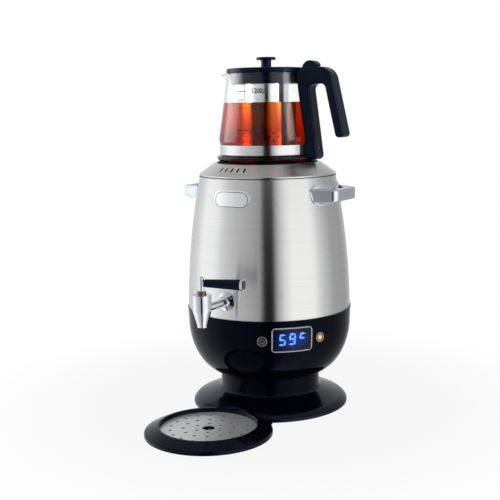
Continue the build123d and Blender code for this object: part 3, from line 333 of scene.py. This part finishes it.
# Plastics, rubber and the matt grid, with a fine moulded grain
mould = {"detail": 6.0, "depth": 0.0002}
blueSheen = (0.4, 0.58, 1.0)
pianoBlack = {"dark": (0.0012, 0.002, 0.0048), "light": (0.002, 0.003, 0.007), "rough": (0.07, 0.12),
              "grain": 90.0, "sheen": blueSheen}
moulded = {
    "glossBlack": {**pianoBlack, "gloss": 0.07, "on": ["base_bowl"]},
    # the foot's gloss drops up its neck: painted shade standing in for the bowl's shadow
    "footBlack": {**pianoBlack, "gloss": 0.36, "neckShadeGloss": 0.07, "neckSpan": (0.024, 0.029), "on": ["foot"]},
    "trayBlack": {**pianoBlack, "gloss": 0.2, "on": ["drip_tray"]},
    "satinBlack": {"dark": (0.003, 0.0065, 0.014), "light": (0.005, 0.009, 0.019), "rough": (0.16, 0.22),
                   "grain": 900.0, "bump": 0.04, "gloss": 0.14, "sheen": blueSheen,
                   "on": ["base_cover", "teapot_handle", "pot_lid", "lid_knob", "lever_grip", "lever_end_cap",
                          "infuser_collar", "infuser_seat", "left_switch", "right_switch", "display_module"]},
    "rubber": {"dark": (0.012, 0.012, 0.012), "light": (0.02, 0.02, 0.02), "rough": (0.6, 0.75), "grain": 500.0,
               "bump": 0.2, "gloss": 0.3,
               "on": ["foot_ring", "cord_bush", "tap_seal", "tap_washer", "lid_gasket", "pot_seat"]},
    "circuitGreen": {"dark": (0.03, 0.16, 0.07), "light": (0.06, 0.25, 0.12), "rough": (0.35, 0.5),
                     "grain": 400.0, "bump": 0.1, "gloss": 0.5, "on": ["control_board"]},
    "gridSteel": {"dark": (0.84, 0.84, 0.835), "light": (0.91, 0.91, 0.905), "rough": (0.3, 0.38),
                  "grain": 220.0, "bump": 0.02, "gloss": 0.6, "metal": 0.55, "on": ["drip_grid"]},
}


def mouldedPlastic(name, look):
    finish, tree, shader, grain = grainedFinish(name, look, mould["detail"])
    if "bump" in look:
        raiseGrain(tree, shader, grain, look["bump"], mould["depth"])
    shader.inputs["Specular IOR Level"].default_value = look["gloss"]
    if "sheen" in look:
        shader.inputs["Specular Tint"].default_value = (*look["sheen"], 1)
    # painted shade: the specular level fades down by height on the neck, standing in for the bowl's shadow
    if "neckShadeGloss" in look:   # the foot's neck stands in the bowl's shade
        up = objectAxes(tree)[2]
        fading = mapSpan(tree, up, look["neckSpan"], (look["gloss"], look["neckShadeGloss"]))
        tree.links.new(fading, shader.inputs["Specular IOR Level"])
    return finish


for makeFinish, looks in ((brushedSteel, brushed), (polishedMetal, polished), (mouldedPlastic, moulded)):
    for finishName, look in looks.items():
        dress(makeFinish(finishName, look), *look["on"])


# Teapot glass, with faint waves
potGlass = {"tint": (0.985, 0.995, 0.99), "bend": 1.47, "glare": 0.5, "waves": 18.0, "bump": 0.02,
            "depth": 0.0005}


def clearGlass():
    finish, tree, shader = startFinish("clearGlass", potGlass["tint"], 0.0)
    letThrough(shader, potGlass)
    waves = grainNoise(tree, potGlass["waves"], detail=1.0)
    raiseGrain(tree, shader, waves, potGlass["bump"], potGlass["depth"])
    return finish


dress(clearGlass(), "teapot_glass")


# Infuser wall: fine mesh windows between plain ribs
infuserWall = {
    "plain": (0.9, 0.9, 0.89),
    "rough": (0.1, 0.15),
    "grain": 60.0,
    "windows": 4,
    "firstTurn": 13.0,
    "windowShare": 0.19,
    "from": 0.386,
    "to": 0.4545,
    "holesRound": 240,
    "holesUp": 2600.0,
    "holeStops": [(0.35, (0.3, 0.3, 0.295)), (0.6, (0.06, 0.06, 0.06))],
}


def meshSteel():
    wall = infuserWall
    finish, tree, shader = startFinish("meshSteel", wall["plain"], wall["rough"][0], metal=1.0)
    varyRoughness(tree, shader, grainNoise(tree, wall["grain"], polish["detail"]), wall["rough"])
    x, y, z = objectAxes(tree)
    angle = compassAngle(tree, x, y)
    along = linkMath(tree, "MULTIPLY", linkMath(tree, "SUBTRACT", angle, radians(wall["firstTurn"])),
                     wall["windows"] / (2 * pi))
    window = linkMath(tree, "LESS_THAN", linkMath(tree, "PINGPONG", along, 0.5), wall["windowShare"])
    for test, edge in (("GREATER_THAN", wall["from"]), ("LESS_THAN", wall["to"])):
        window = linkMath(tree, "MULTIPLY", window, linkMath(tree, test, z, edge))
    across = linkMath(tree, "SINE", linkMath(tree, "MULTIPLY", angle, wall["holesRound"]))
    upward = linkMath(tree, "SINE", linkMath(tree, "MULTIPLY", z, wall["holesUp"]))
    holes = linkMath(tree, "MULTIPLY_ADD", linkMath(tree, "MULTIPLY", across, upward), 0.5, 0.5)
    tones = colourRamp(tree, holes, wall["holeStops"])
    tree.links.new(mixColours(tree, window, wall["plain"], tones), shader.inputs["Base Color"])
    return finish


dress(meshSteel(), "infuser")


# Tap bonnet: plated flange below, bare brass above
bonnet = {"dark": (0.1, 0.075, 0.03), "light": (0.26, 0.19, 0.09), "rough": (0.18, 0.3), "grain": 200.0,
          "metal": 1.0, "plate": (0.7, 0.73, 0.78), "plateShare": 0.35}


def collarMetal():
    finish, tree, shader = grainedFinish("collarMetal", bonnet, polish["detail"])[:3]
    base = shader.inputs["Base Color"]
    low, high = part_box("tap_bonnet")
    plateTop = low[2] + (high[2] - low[2]) * bonnet["plateShare"]
    plated = linkMath(tree, "LESS_THAN", objectAxes(tree)[2], plateTop)
    tree.links.new(mixColours(tree, plated, base.links[0].from_socket, bonnet["plate"]), base)
    return finish


dress(collarMetal(), "tap_bonnet")


# Display: lit window in a frame with a pale outer line and a dark slope inside
displayTurn = 45.3
displayWindow = {
    "colour": (0.002, 0.004, 0.02),
    "rough": (0.09, 0.15),
    "grain": 140.0,
    "gloss": 0.15,
    "glow": {"size": (0.029, 0.029, 0.017), "inner": (0.002, 0.03, 0.34), "outer": (0.001, 0.002, 0.02),
             "strength": 0.9},
}
frameLine = {"round": 0.004, "wide": 0.0017, "pale": (0.66, 0.67, 0.72), "dark": (0.004, 0.006, 0.012),
             "rough": (0.2, 0.3), "grain": 300.0}


def litWindow():
    finish, tree, shader = startFinish("litWindow", displayWindow["colour"], displayWindow["rough"][0])
    shader.inputs["Specular IOR Level"].default_value = displayWindow["gloss"]
    varyRoughness(tree, shader, grainNoise(tree, displayWindow["grain"]), displayWindow["rough"])
    glowSpot(tree, shader, middle("display_window"), displayWindow["glow"])
    return finish


def linedBezel():
    finish, tree, shader = startFinish("linedBezel", frameLine["pale"], frameLine["rough"][0])
    angle = radians(displayTurn)
    corners = [vertex.co for vertex in nodes["display_bezel"].data.vertices]
    across = [corner.x * cos(angle) + corner.y * sin(angle) for corner in corners]
    up = [corner.z for corner in corners]
    x, y, z = objectAxes(tree)
    sideways = linkMath(tree, "ADD", linkMath(tree, "MULTIPLY", x, cos(angle)),
                        linkMath(tree, "MULTIPLY", y, sin(angle)))
    squares = []   # how far past the straight runs, each way
    for place, ends in ((sideways, across), (z, up)):
        centre, half = (min(ends) + max(ends)) / 2, (max(ends) - min(ends)) / 2
        away = linkMath(tree, "ABSOLUTE", linkMath(tree, "SUBTRACT", place, centre))
        past = linkMath(tree, "MAXIMUM", linkMath(tree, "SUBTRACT", away, half - frameLine["round"]), 0.0)
        squares.append(linkMath(tree, "MULTIPLY", past, past))
    reach = linkMath(tree, "SQRT", linkMath(tree, "ADD", *squares))
    line = linkMath(tree, "GREATER_THAN", reach, frameLine["round"] - frameLine["wide"])
    tree.links.new(mixColours(tree, line, frameLine["dark"], frameLine["pale"]), shader.inputs["Base Color"])
    varyRoughness(tree, shader, grainNoise(tree, frameLine["grain"]), frameLine["rough"])
    return finish


dress(litWindow(), "display_window")
dress(linedBezel(), "display_bezel")
print("finishes made")


# Softboxes at the pot's height, whose streaks show on its glass and its black pieces
softboxes = {
    "left": {"turn": -100.0, "away": 0.8, "height": 0.65, "wide": 1.0, "tall": 0.6, "bright": 3.8},
    "right": {"turn": 57.0, "away": 0.8, "height": 0.66, "wide": 0.4, "tall": 0.6, "bright": 5.0},
    "softEdge": 0.4,
    "aim": 0.44,
    "light": ["teapot_glass", "teapot_handle", "pot_lid", "lid_knob", "infuser_collar"],
}


def fadeEdges(lamp):
    # Light falls off towards both upright edges of the box
    lamp.use_nodes = True
    tree = lamp.node_tree
    shape = tree.nodes.new("ShaderNodeNewGeometry")
    axes = tree.nodes.new("ShaderNodeSeparateXYZ")
    tree.links.new(shape.outputs["Parametric"], axes.inputs[0])
    inward = linkMath(tree, "PINGPONG", axes.outputs["X"], 0.5)
    fade = mapSpan(tree, inward, (0.0, softboxes["softEdge"]), soft=True)
    tree.links.new(fade, tree.nodes["Emission"].inputs["Strength"])


def hangSoftboxes():
    shone = bpy.data.collections.new("shoneOn")
    for nodeName in softboxes["light"]:
        shone.objects.link(nodes[nodeName])
    for side in ("left", "right"):
        box = softboxes[side]
        lamp = bpy.data.lights.new(side + "Softbox", "AREA")
        lamp.shape = "RECTANGLE"
        lamp.size = box["wide"]
        lamp.size_y = box["tall"]
        lamp.energy = box["bright"] * pi * box["wide"] * box["tall"]
        fadeEdges(lamp)
        holder = bpy.data.objects.new(side + "Softbox", lamp)
        bpy.context.scene.collection.objects.link(holder)
        angle = viewTurn + radians(box["turn"])
        holder.location = (box["away"] * sin(angle), -box["away"] * cos(angle), box["height"])
        towards = Vector((0, 0, softboxes["aim"])) - holder.location
        holder.rotation_euler = towards.to_track_quat("-Z", "Y").to_euler()
        holder.light_linking.receiver_collection = shone


hangSoftboxes()
print("softboxes hung")


# Modelling steps that several pieces share
def letGo():
    if bpy.context.mode != "OBJECT":
        bpy.ops.object.mode_set(mode="OBJECT")
    bpy.ops.object.select_all(action="DESELECT")


def hold(piece):
    letGo()
    piece.select_set(True)
    bpy.context.view_layer.objects.active = piece


def editAll():
    bpy.ops.object.mode_set(mode="EDIT")
    bpy.ops.mesh.select_all(action="SELECT")


def startPiece(name):
    piece = bpy.context.object
    piece.name = name
    piece.data.name = name
    return piece


def startDisc(name, radius, sides):
    letGo()
    bpy.ops.mesh.primitive_circle_add(vertices=sides, radius=radius, fill_type="NGON")
    return startPiece(name)


def bakePlace(piece):
    hold(piece)
    bpy.ops.object.transform_apply(location=True, rotation=True, scale=True)


def facingPlace(piece, facing, away, height, across=0.0):
    # Stands the flat piece upright, facing out at this angle from the front
    angle = radians(facing)
    outward = Vector((sin(angle), -cos(angle), 0))
    right = Vector((cos(angle), sin(angle), 0))
    piece.location = outward * away + right * across + Vector((0, 0, height))
    piece.rotation_euler = (radians(90), 0, angle)
    bakePlace(piece)


def applyModifier(piece, modifier):
    hold(piece)
    bpy.ops.object.modifier_apply(modifier=modifier.name)


def cutFine(cuts):
    # Enough points to follow the curved surface that the flat piece is laid on
    editAll()
    bpy.ops.mesh.subdivide(number_cuts=cuts)
    letGo()


def wrapOnto(piece, nodeName, above):
    # Lays the piece on the node's surface, a hair above it
    wrap = piece.modifiers.new("wrap", "SHRINKWRAP")
    wrap.target = nodes[nodeName]
    wrap.wrap_method = "NEAREST_SURFACEPOINT"
    wrap.wrap_mode = "ABOVE_SURFACE"
    wrap.offset = above
    applyModifier(piece, wrap)


def wear(piece, finish, body):
    piece.data.materials.clear()
    piece.data.materials.append(finish)
    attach(piece, body)


def selectFaces(piece, wanted):
    bpy.ops.object.mode_set(mode="OBJECT")
    for part in (*piece.data.vertices, *piece.data.edges):
        part.select = False
    for face in piece.data.polygons:
        face.select = wanted(face)
    bpy.ops.object.mode_set(mode="EDIT")
    bpy.ops.mesh.select_mode(type="FACE")


def smooth(piece, sharpest=35):
    hold(piece)
    bpy.ops.object.shade_smooth_by_angle(angle=radians(sharpest))


# Tea in the pot, up to its level, with the edge of its surface drawn up against the glass
tea = {
    "sides": 96,
    "rings": [(0.0617, 0.37345), (0.0654, 0.37420), (0.0668, 0.3769), (0.0669, 0.3938), (0.0680, 0.3962),
              (0.0689, 0.3985), (0.0689, 0.4050), (0.0676, 0.4160), (0.0661, 0.4280), (0.0644, 0.4410),
              (0.0627, 0.4552)],
    "meniscus": 0.0018,
    "dip": 0.0006,
    "tint": (1.0, 0.9, 0.75),
    # painted shade: the tea's colour darkens towards the bottom of the pot
    "shadeTintSpan": (0.372, 0.45),   # darker near the bottom
    "shadeTintStops": [(0.0, (0.05, 0.012, 0.025)), (0.2, (0.07, 0.02, 0.035)), (0.3, (0.62, 0.2, 0.26)),
                  (1.0, (1.0, 0.95, 0.75))],
    "bend": 1.333,
    "glare": 0.3,
    "depthColour": (0.93, 0.6, 0.1),
    "density": 90.0,
    "ripples": 30.0,
    "bump": 0.02,
    "depth": 0.0005,
}


def brewedTea():
    finish, tree, shader = startFinish("brewedTea", tea["tint"], 0.0)
    # painted shade: the base colour darkens by height towards the bottom
    height = mapSpan(tree, objectAxes(tree)[2], tea["shadeTintSpan"])
    tree.links.new(colourRamp(tree, height, tea["shadeTintStops"]), shader.inputs["Base Color"])
    letThrough(shader, tea)
    depth = tree.nodes.new("ShaderNodeVolumeAbsorption")
    depth.inputs["Color"].default_value = (*tea["depthColour"], 1)
    depth.inputs["Density"].default_value = tea["density"]
    tree.links.new(depth.outputs[0], tree.nodes["Material Output"].inputs["Volume"])
    ripples = grainNoise(tree, tea["ripples"], detail=1.0)
    raiseGrain(tree, shader, ripples, tea["bump"], tea["depth"])
    return finish


def pourTea():
    radius, height = tea["rings"][0]
    piece = startDisc("tea", radius, tea["sides"])
    piece.location.z = height
    bakePlace(piece)
    editAll()
    for nextRadius, nextHeight in tea["rings"][1:]:
        bpy.ops.mesh.extrude_region_move(TRANSFORM_OT_translate={"value": (0, 0, nextHeight - height)})
        grow = nextRadius / radius
        bpy.ops.transform.resize(value=(grow, grow, 1), center_override=(0, 0, nextHeight))
        radius, height = nextRadius, nextHeight
    bpy.ops.mesh.inset(thickness=tea["meniscus"], depth=-tea["dip"])
    bpy.ops.mesh.select_all(action="SELECT")
    bpy.ops.mesh.normals_make_consistent(inside=False)
    smooth(piece)
    wear(piece, brewedTea(), "teapot")


pourTea()
print("tea poured")


# Level marks printed on the glass: each line's height, start and end, and each number's height and angle
marks = {
    "lines": [(0.4722, -12.5, 4.5), (0.4598, -11.0, -1.5), (0.4482, -10.0, 6.0), (0.4160, -8.0, 7.0)],
    "lineThick": 0.0009,
    "lineCuts": 12,
    "labels": [("1200", 0.4722, 17.0), ("900", 0.4482, 15.5), ("600", 0.4160, 15.5)],
    "labelHeight": 0.0098,
    "labelBold": 0.00022,
    "labelCurves": 3,
    "labelCuts": 2,
    "radius": 0.0712,
    "above": 0.00012,
}
ink = {"dark": (0.015, 0.015, 0.016), "light": (0.045, 0.045, 0.048), "rough": (0.4, 0.55), "grain": 900.0,
       "detail": 4.0}


def printInk():
    return grainedFinish("printInk", ink, ink["detail"])[0]


def layOnPot(piece, cuts, facing, height, finish):
    cutFine(cuts)
    facingPlace(piece, facing, marks["radius"], height)
    wrapOnto(piece, "teapot_glass", marks["above"])
    wear(piece, finish, "teapot")


def printMarks():
    black = printInk()
    for index, (height, start, end) in enumerate(marks["lines"]):
        letGo()
        bpy.ops.mesh.primitive_plane_add(size=1)
        piece = startPiece("levelLine%d" % (index + 1))
        piece.scale = (marks["radius"] * radians(end - start), marks["lineThick"], 1)
        bakePlace(piece)
        layOnPot(piece, marks["lineCuts"], (start + end) / 2, height, black)
    for index, (label, height, facing) in enumerate(marks["labels"]):
        letGo()
        bpy.ops.object.text_add()
        text = bpy.context.object.data
        text.body = label
        text.size = marks["labelHeight"]
        text.offset = marks["labelBold"]
        text.align_x = "CENTER"
        text.align_y = "CENTER"
        text.resolution_u = marks["labelCurves"]
        bpy.ops.object.convert(target="MESH")
        piece = startPiece("levelNumber%d" % (index + 1))
        layOnPot(piece, marks["labelCuts"], facing, height, black)


printMarks()
print("level marks printed")


# Display figures, built from straight segments with pointed ends
figures = {
    "away": 0.1235,
    "height": 0.1232,
    "thick": 0.0034,
    "pointed": 0.34,
    "slant": 0.06,
    "cuts": 3,
    "above": 0.00012,
    "glyphs": [{"lit": "afgcd", "across": -0.0148, "up": 0.0004, "wide": 0.0105, "tall": 0.0180},
               {"lit": "abcdfg", "across": -0.0003, "up": 0.0012, "wide": 0.0105, "tall": 0.0180},
               {"lit": "adl", "across": 0.0152, "up": 0.0050, "wide": 0.0104, "tall": 0.0100}],
    "colour": (0.1, 0.3, 0.6),
    "rough": 0.4,
    "dark": (0.06, 0.25, 0.74),
    "light": (0.15, 0.43, 0.92),
    "glow": 1.0,
    "grain": 260.0,
}


def glowingSegment():
    finish, tree, shader = startFinish("glowingSegment", figures["colour"], figures["rough"])
    shader.inputs["Emission Strength"].default_value = figures["glow"]
    varyColour(tree, shader.inputs["Emission Color"], grainNoise(tree, figures["grain"]),
               figures["dark"], figures["light"])
    return finish


def segmentPlaces(wide, tall):
    # Middle, length and upright or not of each segment, l being a left side in one piece
    side, half, quarter = wide / 2, tall / 2, tall / 4
    return {"a": (0, half, wide, False), "g": (0, 0, wide, False), "d": (0, -half, wide, False),
            "f": (-side, quarter, half, True), "b": (side, quarter, half, True),
            "e": (-side, -quarter, half, True), "c": (side, -quarter, half, True), "l": (-side, 0, tall, True)}


def segmentBar(x, y, length, upright):
    # A square standing on its corner, blunted left and right and drawn out to a bar
    thick = figures["thick"]
    bar = startDisc("segment", thick / 2, 4)
    bpy.ops.object.mode_set(mode="EDIT")
    bpy.ops.mesh.select_all(action="DESELECT")
    for side in (1, -1):
        bpy.ops.object.mode_set(mode="OBJECT")
        for vertex in bar.data.vertices:
            vertex.select = vertex.co.x * side > thick / 4
        bpy.ops.object.mode_set(mode="EDIT")
        bpy.ops.mesh.bevel(offset=thick * figures["pointed"], affect="VERTICES", segments=1)
    bpy.ops.object.mode_set(mode="OBJECT")
    for vertex in bar.data.vertices:
        if abs(vertex.co.x) >= thick / 20:
            vertex.co.x += length / 2 if vertex.co.x > 0 else -length / 2
    bar.rotation_euler.z = radians(90) if upright else 0
    bar.location = (x, y, 0)
    return bar


def showFigures():
    glow = glowingSegment()
    thick = figures["thick"]
    for index, glyph in enumerate(figures["glyphs"]):
        places = segmentPlaces(glyph["wide"] - thick, glyph["tall"] - thick)
        bars = [segmentBar(*places[letter]) for letter in glyph["lit"]]
        hold(bars[0])
        for bar in bars:
            bar.select_set(True)
        bpy.ops.object.transform_apply(location=True, rotation=True, scale=True)
        bpy.ops.object.join()
        piece = startPiece("figure%d" % (index + 1))
        for vertex in piece.data.vertices:
            vertex.co.x += vertex.co.y * figures["slant"]
        cutFine(figures["cuts"])
        facingPlace(piece, displayTurn, figures["away"], figures["height"] + glyph["up"], glyph["across"])
        wrapOnto(piece, "display_window", figures["above"])
        wear(piece, glow, "base")


showFigures()
print("figures lit")


# Buttons: a rim on each, the on and off sign on the left one and a lamp in the right one
buttons = {
    "left_button": {"turn": 25.0, "dark": (0.5, 0.51, 0.53), "light": (0.66, 0.67, 0.69), "rough": (0.2, 0.3),
                    "grain": 500.0, "hasSign": True},
    "right_button": {"turn": 65.6, "dark": (0.3, 0.2, 0.14), "light": (0.44, 0.31, 0.23), "rough": (0.2, 0.3),
                     "grain": 500.0, "hasSign": False},
    "rim": {"radius": 0.0070, "wide": 0.0011, "sides": 48, "proud": 0.0003, "round": 0.0001,
            "roundSteps": 2},
    "sign": {"radius": 0.0036, "wide": 0.0010, "sides": 40, "proud": 0.00012, "gap": 38.0, "bar": 0.0034,
             "barPlace": 0.75},
    "lamp": {"colour": (0.2, 0.125, 0.085), "metal": 0.85, "rough": (0.24, 0.36), "grain": 500.0,
             "glow": {"size": (0.005, 0.005, 0.005), "inner": (1.0, 0.72, 0.42), "outer": (0.0, 0.0, 0.0),
                      "strength": 1.1}},
}


def litButton():
    lamp, facing = buttons["lamp"], buttons["right_button"]["turn"]
    finish, tree, shader = startFinish("litButton", lamp["colour"], lamp["rough"][0], lamp["metal"])
    away = faceAway("right_button", facing)
    face = (away * sin(radians(facing)), -away * cos(radians(facing)), middle("right_button").z)
    varyRoughness(tree, shader, grainNoise(tree, lamp["grain"]), lamp["rough"])
    glowSpot(tree, shader, face, lamp["glow"])
    return finish


def flatRing(name, ring):
    piece = startDisc(name, ring["radius"], ring["sides"])
    editAll()
    bpy.ops.mesh.inset(thickness=ring["wide"])
    bpy.ops.mesh.delete(type="FACE")
    return piece


def raiseFlat(piece, proud):
    editAll()
    bpy.ops.mesh.extrude_region_move(TRANSFORM_OT_translate={"value": (0, 0, proud)})
    bpy.ops.mesh.select_all(action="SELECT")
    bpy.ops.mesh.normals_make_consistent(inside=False)
    letGo()


def makeRim(nodeName):
    rim = flatRing(nodeName + "Rim", buttons["rim"])
    raiseFlat(rim, buttons["rim"]["proud"])
    soften = rim.modifiers.new("soften", "BEVEL")
    soften.width = buttons["rim"]["round"]
    soften.segments = buttons["rim"]["roundSteps"]
    soften.limit_method = "ANGLE"
    applyModifier(rim, soften)
    return rim


def makeSign():
    look = buttons["sign"]
    sign = flatRing("onOffSign", look)
    selectFaces(sign, lambda face: abs(atan2(face.center.x, face.center.y)) < radians(look["gap"]))
    bpy.ops.mesh.delete(type="FACE")
    barMiddle = (0, look["radius"] * look["barPlace"], 0)
    bpy.ops.mesh.primitive_plane_add(size=1, location=barMiddle)
    bpy.ops.transform.resize(value=(look["wide"], look["bar"], 1), center_override=barMiddle)
    raiseFlat(sign, look["proud"])
    return sign


def trimButtons():
    for nodeName in ("left_button", "right_button"):
        trim = buttons[nodeName]
        metal = polishedMetal(nodeName + "Trim", trim)
        pieces = [makeRim(nodeName), makeSign()] if trim["hasSign"] else [makeRim(nodeName)]
        for piece in pieces:
            smooth(piece)
            facingPlace(piece, trim["turn"], faceAway(nodeName, trim["turn"]), middle(nodeName).z)
            wear(piece, metal, nodeName)


dress(litButton(), "right_button")
trimButtons()
print("buttons trimmed")


# Dark line round the bare badge
badgeLine = {"inset": 0.0005, "wide": 0.0008, "above": 0.0001, "sides": 48, "cuts": 6}


def ringBadge():
    low, high = [Vector(corner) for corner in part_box("badge_plate")]
    centre = (low + high) / 2
    facing = atan2(centre.x, -centre.y) * 180 / pi
    radius = (high.z - low.z) / 2 - badgeLine["inset"]
    length = Vector((high.x - low.x, high.y - low.y)).length
    straight = length / 2 - badgeLine["inset"] - radius
    piece = startDisc("badgeLine", radius, badgeLine["sides"])
    for vertex in piece.data.vertices:
        vertex.co.x += straight * (1 if vertex.co.x > 0 else -1)
    editAll()
    bpy.ops.mesh.inset(thickness=badgeLine["wide"])
    bpy.ops.mesh.delete(type="FACE")
    cutFine(badgeLine["cuts"])
    facingPlace(piece, facing, Vector((low.x, low.y)).length, centre.z)
    wrapOnto(piece, "badge_plate", badgeLine["above"])
    wear(piece, printInk(), "base")


ringBadge()
print("badge outlined")


# Floor, white to the camera away from the object and faintly shaded close to it
floorPlate = {"radius": 4.0, "sides": 96, "below": 0.0003, "tone": 0.5, "shadeSpan": (0.2, 0.55),
              "shade": (0.9, 1.0)}


def layFloor():
    floor = startDisc("floor", floorPlate["radius"], floorPlate["sides"])
    floor.location.z = -floorPlate["below"]
    finish = bpy.data.materials.new("paleFloor")
    finish.use_nodes = True
    tree = finish.node_tree
    tree.nodes.clear()
    where = tree.nodes.new("ShaderNodeTexCoord")
    reach = tree.nodes.new("ShaderNodeVectorMath")
    reach.operation = "LENGTH"
    tree.links.new(where.outputs["Object"], reach.inputs[0])
    shade = mapSpan(tree, reach.outputs["Value"], floorPlate["shadeSpan"], floorPlate["shade"], soft=True)
    rays = tree.nodes.new("ShaderNodeLightPath")
    seen = linkMath(tree, "MAXIMUM", rays.outputs["Is Camera Ray"], rays.outputs["Is Transmission Ray"])
    pale = tree.nodes.new("ShaderNodeBsdfDiffuse")
    pale.inputs["Color"].default_value = (*[floorPlate["tone"]] * 3, 1)
    white = tree.nodes.new("ShaderNodeEmission")
    mixShaders(tree, linkMath(tree, "MULTIPLY", seen, shade), pale.outputs[0], white.outputs[0],
               "ShaderNodeOutputMaterial")
    floor.data.materials.append(finish)
    floor.visible_glossy = False   # the studio's bands run on below, as polish shows them


layFloor()
print("floor laid")
